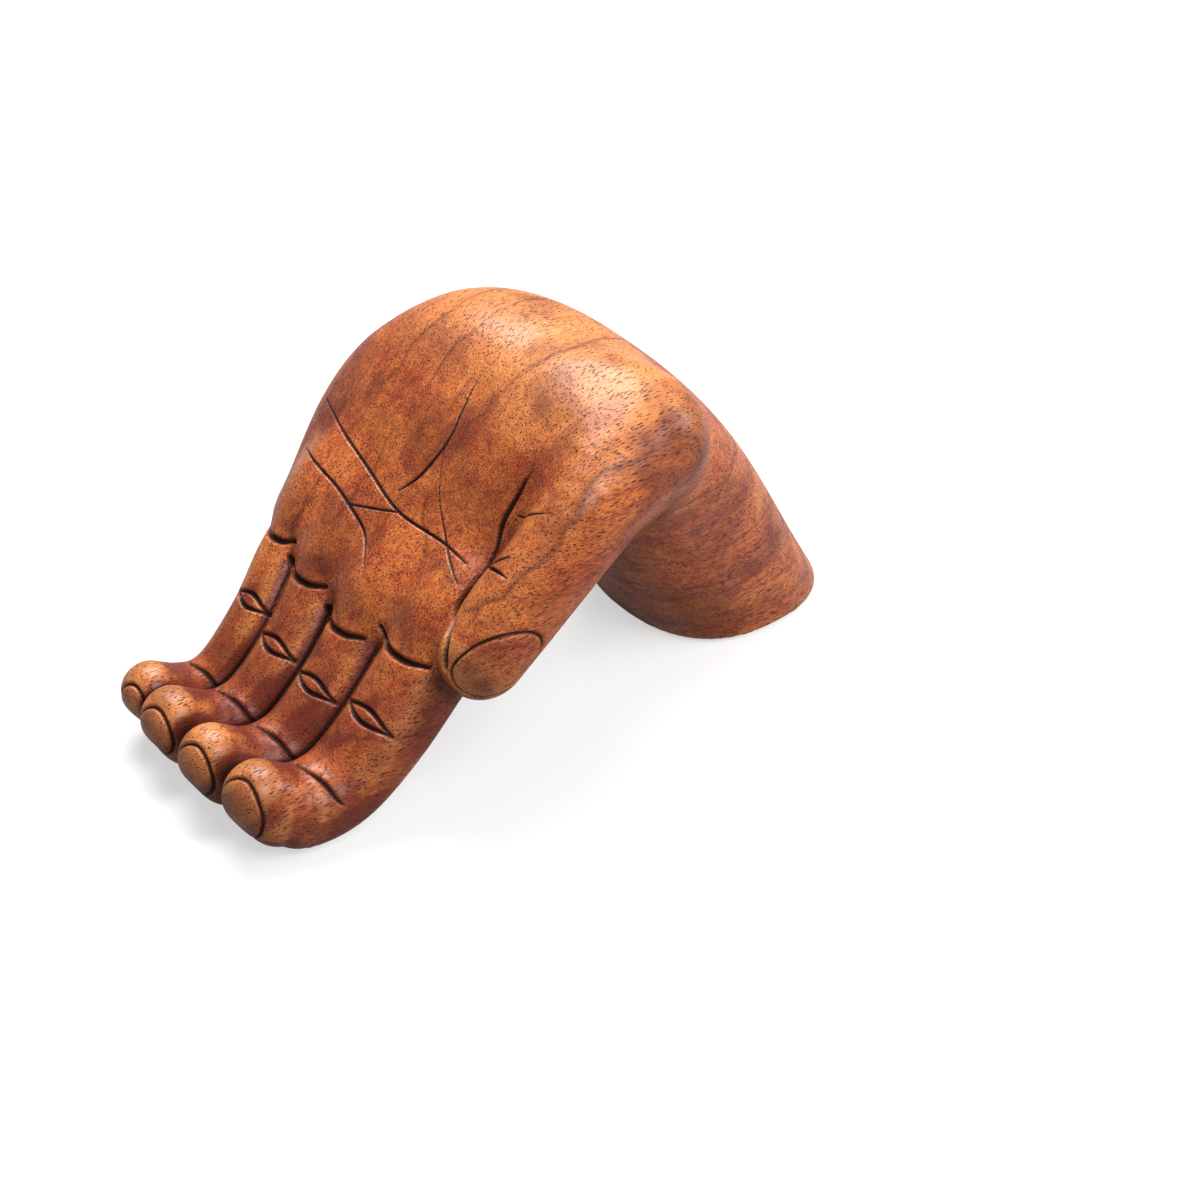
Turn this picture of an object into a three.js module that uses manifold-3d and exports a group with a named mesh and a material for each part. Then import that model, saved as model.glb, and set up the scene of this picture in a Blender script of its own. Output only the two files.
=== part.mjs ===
// Wooden phone stand carved from one block as a relaxed left hand, palm up.
// Units are millimetres and +Z is up. The fingers point to -Y, the thumb is on
// +X, and the forearm goes down behind the hand to a sawn foot. The curled
// fingertips are the ledge that a phone stands in.
import * as THREE from 'three';
import Module from 'manifold-3d';
import { mergeVertices } from 'three/addons/utils/BufferGeometryUtils.js';
import { edgeTable, triTable } from 'three/addons/objects/MarchingCubes.js';

const wasm = await Module();
wasm.setup();

// Stance: y is measured back from the curl, the crease where the fingers bend up
const rampAngle = THREE.MathUtils.degToRad(45); // slope of the palm from the table
const curlHeight = 14.7;        // palm side of the fingers at the curl
const heelAlong = 101;          // heel of the hand, up the slope from the curl
const bendBack = 96.8;          // middle of the wood in the wrist's bend
const bendHeight = 62.5;
const forearmBack = 115.8;      // middle of the wood half way down the forearm
const forearmHeight = 38;
const footBack = 139.8;         // middle of the sawn foot

// Palm, wrist, forearm and foot: half widths across and half depths through
const knuckleHalfWidth = 34;
const palmHalfWidth = 45.5;
const palmHalfDepth = 16;
const heelHalfWidth = 40.5;
const heelHalfDepth = 20.5;
const bendHalfWidth = 35;
const bendHalfDepth = 22.5;
const forearmHalfWidth = 29.5;
const forearmHalfDepth = 23.8;
const footHalfWidth = 28;
const footHalfDepth = 23.6;

// Fingers: the middle line across, the half width, the lean of the root to the little
// finger's side, and the two creases, measured up the slope from the curl
const indexSide = 22.2;
const indexHalfWidth = 10.5;
const indexLean = 1.6;
const indexRootAlong = 34.2;
const indexKnuckleAlong = 18.9;
const middleSide = 3.8;
const middleHalfWidth = 9.2;
const middleLean = 2.5;
const middleRootAlong = 29.8;
const middleKnuckleAlong = 16.2;
const ringSide = -13;
const ringHalfWidth = 8.6;
const ringLean = 4;
const ringRootAlong = 33.2;
const ringKnuckleAlong = 17.3;
const littleSide = -27.3;
const littleHalfWidth = 7.2;
const littleLean = 4.5;
const littleRootAlong = 37;
const littleKnuckleAlong = 21.6;
const fingerHalfDepth = 8.5;
const knuckleAlong = 18;        // where the fingers run straight
const rootAlong = 35;           // where the palm takes over from them

// Fingertips: the middle across, in front of the curl and above the table
const indexTipSide = 18.3;
const indexTipReach = 13.4;
const indexTipHeight = 15.3;
const middleTipSide = 1;
const middleTipReach = 14.5;
const middleTipHeight = 15.5;
const ringTipSide = -16;
const ringTipReach = 14;
const ringTipHeight = 15.5;
const littleTipSide = -28.8;
const littleTipReach = 11.9;
const littleTipHeight = 14.3;
const tipHalfWidth = 8;

// Thumb, lying along the palm's edge
const thumbSide = 35;
const thumbHalfWidth = 10.2;
const thumbHalfDepth = 12;
const thumbTipAlong = 46.6;

// Carver's cuts
const veinerRadius = 1.1;       // round gouge for the deep creases
const creaseDepth = 1.1;
const knuckleBow = 1.7;         // how far the two cuts across a knuckle bow apart
const lineRadius = 0.8;         // fine gouge for the lines of the palm
const lineDepth = 0.7;
const nailRadius = 0.7;         // gouge that rings the nails
const nailDepth = 0.6;
const nailHalfLength = 7.75;     // of the index finger, and narrower fingers have less
const nailHalfWidth = 6.1;
const thumbNailHalfLength = 11.2;
const thumbNailHalfWidth = 7.6;
const gougeStep = 4;            // spacing of the gouge's sections along a cut

// Felt dots that the stand rests on
const feltThickness = 1;
const footFeltRadius = 6;
const footFeltCircle = 15.5;    // circle that the three dots of the foot stand on
const fingerFeltRadius = 3;

const finestEdge = 0.02;        // grid that the corners of the finished wood lie on

// The slope's own axes: across, up along the palm, and out of the palm
const across = new THREE.Vector3(1, 0, 0);
const upSlope = new THREE.Vector3(0, Math.cos(rampAngle), Math.sin(rampAngle));
const outOfPalm = new THREE.Vector3(0, -Math.sin(rampAngle), Math.cos(rampAngle));

function onSlope(side, along, lift) {
  const point = new THREE.Vector3(0, 0, curlHeight);
  point.addScaledVector(across, side).addScaledVector(upSlope, along);
  return point.addScaledVector(outOfPalm, lift);
}

// A station is a place on a limb's middle line with its half width and half depth.
function station(x, y, z, halfWidth, halfDepth) {
  return { centre: new THREE.Vector3(x, y, z), size: new THREE.Vector3(halfWidth, halfDepth, 0) };
}

// The same on the slope, where the palm side of the limb lies at the given lift.
function slopeStation(side, along, surfaceLift, halfWidth, halfDepth) {
  const centre = onSlope(side, along, surfaceLift - halfDepth);
  return { centre, size: new THREE.Vector3(halfWidth, halfDepth, 0) };
}

// A limb is a smooth run through its stations. It bends only in the YZ plane, so a
// point's section is found from the nearest place on the middle line seen from the side.
const stations = [];
function makeLimb(places, squareness, stepsPerStation) {
  stations.push(...places);
  const centres = new THREE.CatmullRomCurve3(places.map((s) => s.centre), false, 'catmullrom', 0.5);
  const sizes = new THREE.CatmullRomCurve3(places.map((s) => s.size), false, 'catmullrom', 0.5);
  const steps = (places.length - 1) * stepsPerStation;
  const line = [];
  for (let i = 0; i <= steps; i++) {
    const centre = centres.getPoint(i / steps);
    const size = sizes.getPoint(i / steps);
    line.push([centre.x, centre.y, centre.z, size.x, size.y]);
  }
  return (x, y, z) => {
    let nearest = Infinity;
    let from = line[0];
    let to = line[1];
    let share = 0;
    for (let i = 0; i < steps; i++) {
      const a = line[i];
      const b = line[i + 1];
      const dy = b[1] - a[1];
      const dz = b[2] - a[2];
      const t = Math.min(1, Math.max(0, ((y - a[1]) * dy + (z - a[2]) * dz) / (dy * dy + dz * dz)));
      const gap = (y - a[1] - t * dy) ** 2 + (z - a[2] - t * dz) ** 2;
      if (gap < nearest) {
        nearest = gap;
        from = a;
        to = b;
        share = t;
      }
    }
    const halfWidth = from[3] + (to[3] - from[3]) * share;
    const halfDepth = from[4] + (to[4] - from[4]) * share;
    const sideShare = Math.abs(x - from[0] - (to[0] - from[0]) * share) / halfWidth;
    const depthShare = Math.sqrt(nearest) / halfDepth;
    return sectionDistance(sideShare, depthShare, halfWidth, halfDepth, squareness);
  };
}

// Signed distance to a rounded section, from the shares of its two half sizes. A
// squareness of 2 is an ellipse, and more than 2 has flatter sides.
function sectionDistance(sideShare, depthShare, halfWidth, halfDepth, squareness) {
  const reach = Math.max(1e-4, (sideShare ** squareness + depthShare ** squareness) ** (1 / squareness));
  const slopeX = sideShare ** (squareness - 1) / halfWidth;
  const slopeY = depthShare ** (squareness - 1) / halfDepth;
  const rise = reach ** (1 - squareness) * Math.hypot(slopeX, slopeY);
  return (reach - 1) / Math.max(rise, 0.5 / Math.max(halfWidth, halfDepth));
}

// A swell is an ellipsoid set square to the slope, such as the pad under a finger's root.
function makeSwell(side, along, lift, halfAcross, halfAlong, halfDepth) {
  const centre = onSlope(side, along, lift);
  const offset = new THREE.Vector3();
  return (x, y, z) => {
    offset.set(x, y, z).sub(centre);
    const a = offset.dot(across) / halfAcross;
    const b = offset.dot(upSlope) / halfAlong;
    const c = offset.dot(outOfPalm) / halfDepth;
    const reach = Math.hypot(a, b, c);
    const rise = Math.hypot(a / halfAcross, b / halfAlong, c / halfDepth);
    return rise > 1e-6 ? (reach * (reach - 1)) / rise : -Math.min(halfAcross, halfAlong, halfDepth);
  };
}

// Joins two distances with a fillet of about the given width.
function blend(a, b, width) {
  const share = Math.min(1, Math.max(0, 0.5 + (0.5 * (b - a)) / width));
  return b + (a - b) * share - width * share * (1 - share);
}

// Palm, wrist and forearm are one limb that bends at the heel of the hand.
const forearmRun = footBack - forearmBack;
const palm = makeLimb([
  slopeStation(-5, rootAlong - 2, -7, knuckleHalfWidth, fingerHalfDepth - 2),
  slopeStation(-7.5, rootAlong + 7, -0.8, knuckleHalfWidth + 4, fingerHalfDepth + 2),
  slopeStation(-9, rootAlong + 17, 0, (knuckleHalfWidth + palmHalfWidth) / 2 + 1, palmHalfDepth - 3.5),
  slopeStation(-11, heelAlong - 30, 1.5, palmHalfWidth - 1, palmHalfDepth),
  slopeStation(-11, heelAlong - 13, 2, palmHalfWidth - 1.8, palmHalfDepth + 2),
  slopeStation(-7, heelAlong, -1, heelHalfWidth, heelHalfDepth),
  station(-3, bendBack, bendHeight, bendHalfWidth, bendHalfDepth),
  station(0, forearmBack, forearmHeight, forearmHalfWidth, forearmHalfDepth),
  station(0, footBack, 0, footHalfWidth, footHalfDepth),
  station(0, footBack + forearmRun / 2, -forearmHeight / 2, footHalfWidth, footHalfDepth),
], 2.4, 12);

// Each finger comes down the slope, lies along the table and curls up at its tip.
const fingers = [
  {
    side: indexSide, halfWidth: indexHalfWidth, lean: indexLean, root: indexRootAlong,
    knuckle: indexKnuckleAlong, tipSide: indexTipSide, reach: indexTipReach, tipHeight: indexTipHeight,
  },
  {
    side: middleSide, halfWidth: middleHalfWidth, lean: middleLean, root: middleRootAlong,
    knuckle: middleKnuckleAlong, tipSide: middleTipSide, reach: middleTipReach, tipHeight: middleTipHeight,
  },
  {
    side: ringSide, halfWidth: ringHalfWidth, lean: ringLean, root: ringRootAlong,
    knuckle: ringKnuckleAlong, tipSide: ringTipSide, reach: ringTipReach, tipHeight: ringTipHeight,
  },
  {
    side: littleSide, halfWidth: littleHalfWidth, lean: littleLean, root: littleRootAlong,
    knuckle: littleKnuckleAlong, tipSide: littleTipSide, reach: littleTipReach, tipHeight: littleTipHeight,
  },
];
const thinner = (finger) => (finger.halfWidth - indexHalfWidth) / 3;

function makeFinger(finger) {
  const { side, halfWidth, lean, tipSide, reach, tipHeight } = finger;
  const depth = fingerHalfDepth + thinner(finger) + 0.6;
  const down = makeLimb([
    slopeStation(side - lean - 1, rootAlong + 18, -2.5, halfWidth - 0.3, depth + 0.5),
    slopeStation(side - lean, rootAlong + 1, -0.4, halfWidth + 0.3, depth + 0.5),
    slopeStation(side, knuckleAlong, 0, halfWidth, depth),
    station(side, 6.8, depth + 2.3, halfWidth - 0.4, depth - 0.2),
    station(side - 1, -4, depth + 0.1, halfWidth - 0.6, depth - 0.1),
    station((side + tipSide) / 2 - 1, -reach + 3, depth + 1.5, halfWidth - 1, depth - 1),
  ], 2.5, 6);
  const tip = makeLimb([
    station((side + tipSide) / 2, -reach + 7, tipHeight - 4.5, tipHalfWidth - 0.4, depth - 0.8),
    station(tipSide, -reach, tipHeight, tipHalfWidth + thinner(finger) - 0.2, depth - 1.1),
  ], 2.3, 4);
  return (x, y, z) => blend(down(x, y, z), tip(x, y, z), 2);
}
const fingerShapes = fingers.map(makeFinger);

// Pads of the palm over the finger roots, and the balls of the thumb and little finger
const rootPads = fingers.map((finger) =>
  makeSwell(finger.side - finger.lean - 0.8, finger.root + 15, -8, finger.halfWidth + 2, 16.5, 10));
const thumbBall = makeSwell(14, heelAlong - 9, -12, 19, 26, 15);

const thumb = makeLimb([
  slopeStation(thumbSide - 9, heelAlong + 6, -6, thumbHalfWidth + 4, thumbHalfDepth + 3),
  slopeStation(thumbSide - 1.5, heelAlong - 12, 3.5, thumbHalfWidth + 0.4, thumbHalfDepth + 1.5),
  slopeStation(thumbSide, thumbTipAlong + 25, 4.5, thumbHalfWidth - 1, thumbHalfDepth + 0.5),
  slopeStation(thumbSide - 0.3, thumbTipAlong + 11, 5, thumbHalfWidth - 0.6, thumbHalfDepth),
  slopeStation(thumbSide, thumbTipAlong, 4.5, thumbHalfWidth - 1, thumbHalfDepth - 1),
], 2.1, 6);

// Signed distance to the carved surface, below zero inside the wood, which goes on a
// little below the table until it is sawn level
const sawAllowance = 12;
function woodDistance(x, y, z) {
  const pads = rootPads.map((pad) => pad(x, y, z)).reduce((a, b) => blend(a, b, 4));
  const hand = fingerShapes.map((shape) => shape(x, y, z)).reduce((a, b) => blend(a, b, 1.6));
  const along = y * upSlope.y + (z - curlHeight) * upSlope.z;
  const thumbFillet = 2 + 8 * THREE.MathUtils.smoothstep(along, heelAlong - 28, heelAlong);
  let wood = blend(palm(x, y, z), pads, 6);
  wood = blend(wood, thumbBall(x, y, z), 8);
  wood = blend(wood, hand, 1.5);
  wood = blend(wood, thumb(x, y, z), thumbFillet);
  return Math.max(wood, -sawAllowance - z);
}

// Lattice lines from one end to the other, with one spacing up to the change and
// another past it. The spacings may be negative.
function latticeLines(from, change, to, firstStep, lastStep) {
  const lines = [];
  const first = Math.round((change - from) / firstStep);
  const last = Math.ceil((to - change) / lastStep);
  for (let n = 0; n < first; n++) lines.push(from + ((change - from) * n) / first);
  for (let n = 0; n <= last; n++) lines.push(change + n * lastStep);
  return lines;
}

// The lattice fans out round a line under the arch of the hand, so its cells follow the
// wood from the fingertips over the wrist to the foot. It covers every station, and it is
// finer over the fingers, whose sides it follows.
const fanBack = footBack * 0.515;
const fanHeight = -bendHeight * 0.48;
const latticeMargin = 6;
const cellAcross = 3.5;
const cellOut = 4.2;
const fingerTurn = THREE.MathUtils.degToRad(2.1);
const palmTurn = THREE.MathUtils.degToRad(4);
const fanRadius = (point) => Math.hypot(point.y - fanBack, point.z - fanHeight);
const fanAngle = (point) => Math.atan2(point.z - fanHeight, point.y - fanBack);

// Least and greatest of a value over the stations, each with its own allowance
function range(valueOf, allowanceOf) {
  const lows = stations.map((place) => valueOf(place.centre) - allowanceOf(place));
  const highs = stations.map((place) => valueOf(place.centre) + allowanceOf(place));
  return [Math.min(...lows), Math.max(...highs)];
}
const [left, right] = range((point) => point.x, (place) => place.size.x + latticeMargin);
const [inner, outer] = range(fanRadius, (place) => place.size.y + latticeMargin);
const [lastAngle, firstAngle] = range(fanAngle, (place) =>
  (place.size.y + latticeMargin) / fanRadius(place.centre));
const rootAngle = fanAngle(onSlope(0, rootAlong + 9, 0));
const sides = latticeLines(left, left, right, cellAcross, cellAcross);
const angles = latticeLines(firstAngle, rootAngle, lastAngle, -fingerTurn, -palmTurn);
const radii = latticeLines(inner, inner, outer, cellOut, cellOut);

function latticePoint(i, j, k) {
  const y = fanBack + radii[k] * Math.cos(angles[j]);
  const z = fanHeight + radii[k] * Math.sin(angles[j]);
  return new THREE.Vector3(sides[i], y, z);
}

// Corners and edges of a cell, in the order of the marching cubes tables
const cornerSteps = [[0, 0, 0], [1, 0, 0], [1, 1, 0], [0, 1, 0], [0, 0, 1], [1, 0, 1], [1, 1, 1], [0, 1, 1]];
const edgeCorners = [
  [0, 1], [1, 2], [3, 2], [0, 3], [4, 5], [5, 6], [7, 6], [4, 7], [0, 4], [1, 5], [2, 6], [3, 7],
];

// Wraps the distance in a closed skin: one vertex for each patch of surface in a lattice
// cell, moved on to the surface, and two triangles for each lattice edge that it crosses.
function skin(distance) {
  const counts = [sides.length, angles.length, radii.length];
  const nodeAt = (i, j, k) => (k * counts[1] + j) * counts[0] + i;
  const values = new Float64Array(counts[0] * counts[1] * counts[2]);
  eachCell([0, 0, 0], counts, (i, j, k) => {
    const point = latticePoint(i, j, k);
    values[nodeAt(i, j, k)] = distance(point.x, point.y, point.z);
  });
  const positions = [];
  const patchVertices = new Map();
  eachCell([0, 0, 0], counts.map((count) => count - 1), (i, j, k) => {
    const corners = cornerSteps.map(([a, b, c]) => values[nodeAt(i + a, j + b, k + c)]);
    const code = corners.reduce((sum, value, n) => (value < 0 ? sum | (1 << n) : sum), 0);
    if (!edgeTable[code]) return;
    const patchOf = patchesOf(code);
    const vertexOf = new Map();
    for (const patch of new Set(patchOf.filter((p) => p >= 0))) {
      const point = new THREE.Vector3();
      const crossed = edgeCorners.filter((edge, e) => patchOf[e] === patch);
      for (const [a, b] of crossed) {
        const from = latticePoint(...[i, j, k].map((n, axis) => n + cornerSteps[a][axis]));
        const to = latticePoint(...[i, j, k].map((n, axis) => n + cornerSteps[b][axis]));
        point.add(from.lerp(to, corners[a] / (corners[a] - corners[b])));
      }
      vertexOf.set(patch, positions.length / 3);
      settle(distance, point.divideScalar(crossed.length));
      positions.push(point.x, point.y, point.z);
    }
    patchVertices.set(nodeAt(i, j, k), patchOf.map((patch) => vertexOf.get(patch)));
  });
  return sew(values, counts, nodeAt, positions, patchVertices);
}

function eachCell(from, to, visit) {
  for (let k = from[2]; k < to[2]; k++) {
    for (let j = from[1]; j < to[1]; j++) {
      for (let i = from[0]; i < to[0]; i++) visit(i, j, k);
    }
  }
}

// The patch of surface that crosses each of a cell's twelve edges, or -1
function patchesOf(code) {
  const patchOf = new Array(12).fill(-1);
  for (let t = code * 16; triTable[t] !== -1; t += 3) {
    const edges = [triTable[t], triTable[t + 1], triTable[t + 2]];
    const known = edges.map((edge) => patchOf[edge]).filter((patch) => patch >= 0);
    const patch = known.length ? Math.min(...known) : t;
    patchOf.forEach((other, edge) => {
      if (known.includes(other)) patchOf[edge] = patch;
    });
    edges.forEach((edge) => { patchOf[edge] = patch; });
  }
  return patchOf;
}

// Moves a point on to the surface along the steepest way.
function settle(distance, point) {
  const nudge = 0.05;
  const farthest = 0.6;
  for (let pass = 0; pass < 3; pass++) {
    const { x, y, z } = point;
    const gradient = new THREE.Vector3(
      distance(x + nudge, y, z) - distance(x - nudge, y, z),
      distance(x, y + nudge, z) - distance(x, y - nudge, z),
      distance(x, y, z + nudge) - distance(x, y, z - nudge),
    ).divideScalar(2 * nudge);
    gradient.multiplyScalar(-distance(x, y, z) / Math.max(gradient.lengthSq(), 0.2));
    point.add(gradient.clampLength(0, farthest));
  }
}

// Joins the vertices of the four cells round each grid edge that the surface crosses.
function sew(values, counts, nodeAt, positions, patchVertices) {
  const rings = [
    { run: [1, 0, 0], cells: [[0, 0, 0], [0, -1, 0], [0, -1, -1], [0, 0, -1]], edges: [0, 2, 6, 4] },
    { run: [0, 1, 0], cells: [[0, 0, 0], [0, 0, -1], [-1, 0, -1], [-1, 0, 0]], edges: [3, 7, 5, 1] },
    { run: [0, 0, 1], cells: [[0, 0, 0], [-1, 0, 0], [-1, -1, 0], [0, -1, 0]], edges: [8, 9, 10, 11] },
  ];
  const triangles = [];
  const apart = (a, b) => Math.hypot(...[0, 1, 2].map((n) => positions[3 * a + n] - positions[3 * b + n]));
  eachCell([1, 1, 1], counts.map((count) => count - 1), (i, j, k) => {
    const here = values[nodeAt(i, j, k)];
    for (const { run, cells, edges } of rings) {
      const next = values[nodeAt(i + run[0], j + run[1], k + run[2])];
      if (here < 0 === next < 0) continue;
      const quad = cells.map(([a, b, c], n) => patchVertices.get(nodeAt(i + a, j + b, k + c))[edges[n]]);
      if (here >= 0) quad.reverse();
      const [a, b, c, d] = quad;
      if (apart(a, c) < apart(b, d)) triangles.push(a, b, c, a, c, d);
      else triangles.push(a, b, d, b, c, d);
    }
  });
  const geometry = new THREE.BufferGeometry();
  geometry.setAttribute('position', new THREE.Float32BufferAttribute(positions, 3));
  geometry.setIndex(triangles);
  return geometry;
}

// Closed meshes to solids and back
function toSolid(geometry) {
  const bare = geometry.clone();
  bare.deleteAttribute('normal');
  bare.deleteAttribute('uv');
  const merged = mergeVertices(bare, 1e-4);
  return new wasm.Manifold(new wasm.Mesh({
    numProp: 3,
    vertProperties: new Float32Array(merged.attributes.position.array),
    triVerts: new Uint32Array(merged.index.array),
  }));
}

// A solid's mesh with every corner on a fine grid. Faces thinner than the grid fall
// flat, and they are left out with the pairs that then lie back to back.
function toGeometry(solid) {
  const { vertProperties, triVerts } = solid.getMesh();
  const corners = new Map();
  const positions = [];
  const cornerOf = [];
  for (let n = 0; n < vertProperties.length; n += 3) {
    const place = Array.from(vertProperties.slice(n, n + 3), (value) => Math.round(value / finestEdge));
    const key = place.join();
    if (!corners.has(key)) {
      corners.set(key, positions.length / 3);
      positions.push(...place.map((value) => value * finestEdge));
    }
    cornerOf.push(corners.get(key));
  }
  const faces = new Map();
  for (let n = 0; n < triVerts.length; n += 3) {
    const face = Array.from(triVerts.slice(n, n + 3), (vertex) => cornerOf[vertex]);
    if (new Set(face).size < 3) continue;
    const key = [...face].sort((p, q) => p - q).join();
    if (faces.has(key)) faces.delete(key);
    else faces.set(key, face);
  }
  const geometry = new THREE.BufferGeometry();
  geometry.setAttribute('position', new THREE.Float32BufferAttribute(positions, 3));
  geometry.setIndex([...faces.values()].flat());
  geometry.computeVertexNormals();
  return geometry;
}

// Lays a cutter that was made flat on to the carved surface. Its x and y are places on
// the frame, and its z is the height over the wood.
function drape(flat, frame) {
  const start = 25;
  const places = flat.attributes.position;
  const geometry = flat.clone();
  for (let n = 0; n < places.count; n++) {
    const point = frame.place(places.getX(n), places.getY(n), start);
    for (let pass = 0; pass < 80; pass++) {
      const height = woodDistance(point.x, point.y, point.z);
      if (Math.abs(height) < 0.01) break;
      point.addScaledVector(frame.out, -0.85 * height);
    }
    point.addScaledVector(frame.out, places.getZ(n));
    geometry.attributes.position.setXYZ(n, point.x, point.y, point.z);
  }
  return toSolid(geometry);
}

// The cut of a round gouge along places on a frame. It runs in and out at its ends.
function gougeCut(frame, places, radius, depth) {
  const last = places.length - 1;
  const route = new THREE.CatmullRomCurve3(places.map(([a, b], n) =>
    new THREE.Vector3(a, b, n === 0 || n === last ? radius : radius - depth)));
  const section = new THREE.Shape(new THREE.Path().absarc(0, 0, radius, 0, 2 * Math.PI).getPoints(2));
  const steps = Math.max(5, Math.round(route.getLength() / gougeStep));
  return drape(new THREE.ExtrudeGeometry(section, { steps, extrudePath: route }), frame);
}

// The cut that rings a nail: a torus stretched to an oval
function nailCut(frame, halfAcross, halfAlong) {
  const guide = 10;
  const ring = new THREE.TorusGeometry(guide, nailRadius, 4, 16);
  const places = ring.attributes.position;
  const outward = new THREE.Vector2();
  for (let n = 0; n < places.count; n++) {
    const angle = Math.atan2(places.getY(n), places.getX(n));
    const offset = Math.hypot(places.getX(n), places.getY(n)) - guide;
    outward.set(Math.cos(angle) / halfAcross, Math.sin(angle) / halfAlong).normalize();
    const a = halfAcross * Math.cos(angle) + offset * outward.x;
    const b = halfAlong * Math.sin(angle) + offset * outward.y;
    places.setXYZ(n, a, b, places.getZ(n) + nailRadius - nailDepth);
  }
  return drape(ring, frame);
}

const palmFrame = { place: onSlope, out: outOfPalm };

// A frame at a place, facing out along a direction
function facing(centre, direction, upward) {
  const out = direction.clone().normalize();
  const a = upward.clone().cross(out).normalize();
  const b = out.clone().cross(a);
  const place = (x, y, z) => {
    const point = centre.clone().addScaledVector(a, x).addScaledVector(b, y);
    return point.addScaledVector(out, z);
  };
  return { place, out };
}

const cuts = [];
for (const finger of fingers) {
  const { side, halfWidth, lean, root, knuckle, tipSide, reach, tipHeight } = finger;
  const rootSide = side - lean;
  cuts.push(gougeCut(palmFrame, [
    [rootSide - halfWidth + 1, root + 1.8], [rootSide - 0.55 * halfWidth, root],
    [rootSide + 0.15 * halfWidth, root + 0.2], [rootSide + 0.7 * halfWidth, root + 2.4],
  ], veinerRadius, creaseDepth));
  for (const way of [-1, 1]) {
    const ends = 0.75 * halfWidth;
    cuts.push(gougeCut(palmFrame, [
      [side - ends, knuckle], [side, knuckle + way * knuckleBow], [side + ends, knuckle],
    ], veinerRadius * 0.8, creaseDepth));
  }
  cuts.push(gougeCut(palmFrame, [
    [side - 0.5 * halfWidth, 0.9], [side + 0.1 * halfWidth, 1.6],
    [side + 0.5 * halfWidth, 1.4], [side + 0.85 * halfWidth, 0],
  ], veinerRadius, creaseDepth));
  const nailCentre = new THREE.Vector3(tipSide, -reach, tipHeight - 2);
  const share = halfWidth / indexHalfWidth;
  const nailFrame = facing(nailCentre, new THREE.Vector3(0.2, -0.96, 0.17), new THREE.Vector3(0, 0, 1));
  cuts.push(nailCut(nailFrame, nailHalfWidth * share, nailHalfLength * share));
}

// Lines of the palm, as places across and up the slope
const palmLines = [
  [[-47.7, 70.8], [-31, 66.8], [-17.4, 63.6], [-4.4, 60.5], [11.7, 61.2], [21, 60.8]],
  [[-43, 58.4], [-37.6, 58.1], [-23.9, 56.1], [-16.8, 54.7], [-8.9, 51.7], [-1, 45]],
  [[-7.7, 101], [-7.1, 95.6], [-5, 88.4], [-3.2, 80.9], [-4.6, 70.7], [-7.8, 64.3]],
  [[-2.8, 78.9], [3.5, 69.2], [14.2, 60.5], [23.2, 55.8]],
  [[-16.8, 54.7], [-10.5, 57.6], [-4.2, 60.4]],
  [[25.6, 59.8], [27.6, 63.2], [33.4, 68.2]],
  [[28.6, 63.4], [33, 64], [36.7, 64.1]],
  [[24.6, 76.5], [30.5, 78.6], [36, 81.6]],
];
for (const line of palmLines) cuts.push(gougeCut(palmFrame, line, lineRadius, lineDepth));
const thumbLine = [
  [21.1, 98.9], [22.2, 87.5], [22.4, 79.2], [22.2, 72.8], [23.9, 66.8],
  [25.6, 61], [26.4, 54.2], [27.9, 50], [31.8, 45], [34.7, 39.4],
];
cuts.push(gougeCut(palmFrame, thumbLine, veinerRadius * 1.2, creaseDepth * 1.2));
const thumbNailFrame = facing(
  onSlope(thumbSide, thumbTipAlong + 2.4, -5.5),
  across.clone().addScaledVector(upSlope, -0.25).addScaledVector(outOfPalm, 0.15),
  upSlope.clone().addScaledVector(outOfPalm, -0.55),
);
cuts.push(nailCut(thumbNailFrame, thumbNailHalfWidth, thumbNailHalfLength));

const rough = skin(woodDistance);
const block = toSolid(rough);
const table = new THREE.BoxGeometry(4 * outer, 4 * outer, outer);
table.translate(0, fanBack, feltThickness - outer / 2);
const carved = cuts.reduce((wood, cut) => wood.subtract(cut), block.subtract(toSolid(table)));

function makeMaterial(name, color, roughness) {
  return new THREE.MeshStandardMaterial({ name, color, roughness, metalness: 0 });
}
const wood = makeMaterial('varnished_wood', 0xa4622c, 0.42);
const felt = makeMaterial('felt', 0x3a2f28, 0.95);

const stand = new THREE.Group();
function addPiece(name, geometry, material) {
  const mesh = new THREE.Mesh(geometry, material);
  mesh.name = name;
  stand.add(mesh);
  return mesh;
}
addPiece('carved_hand', toGeometry(carved), wood);

// Felt dots, face to face with the sawn foot and with the flats under two fingers
function feltDot(radius, x, y, name) {
  const dot = new THREE.CylinderGeometry(radius, radius, feltThickness, 24);
  dot.rotateX(Math.PI / 2);
  addPiece(name, dot, felt).position.set(x, y, feltThickness / 2);
}
for (let n = 0; n < 3; n++) {
  const angle = Math.PI / 2 + (n * 2 * Math.PI) / 3;
  const x = footFeltCircle * Math.cos(angle);
  feltDot(footFeltRadius, x, footBack + footFeltCircle * Math.sin(angle), `foot_felt_${n + 1}`);
}
feltDot(fingerFeltRadius, indexSide - 1, -2, 'index_finger_felt');
feltDot(fingerFeltRadius - 0.4, littleSide - 1, -2, 'little_finger_felt');

// The origin is on the table under the middle of the stand.
const reach = new THREE.Box3().setFromObject(stand);
const middle = reach.getCenter(new THREE.Vector3());
const onGrid = (value) => Math.round(value / finestEdge) * finestEdge;
stand.position.set(-onGrid(middle.x), -onGrid(middle.y), 0);

export default stand;
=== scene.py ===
import bpy
import bmesh
import math
import numpy as np
from mathutils import Matrix, Vector
from mathutils.kdtree import KDTree


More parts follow.
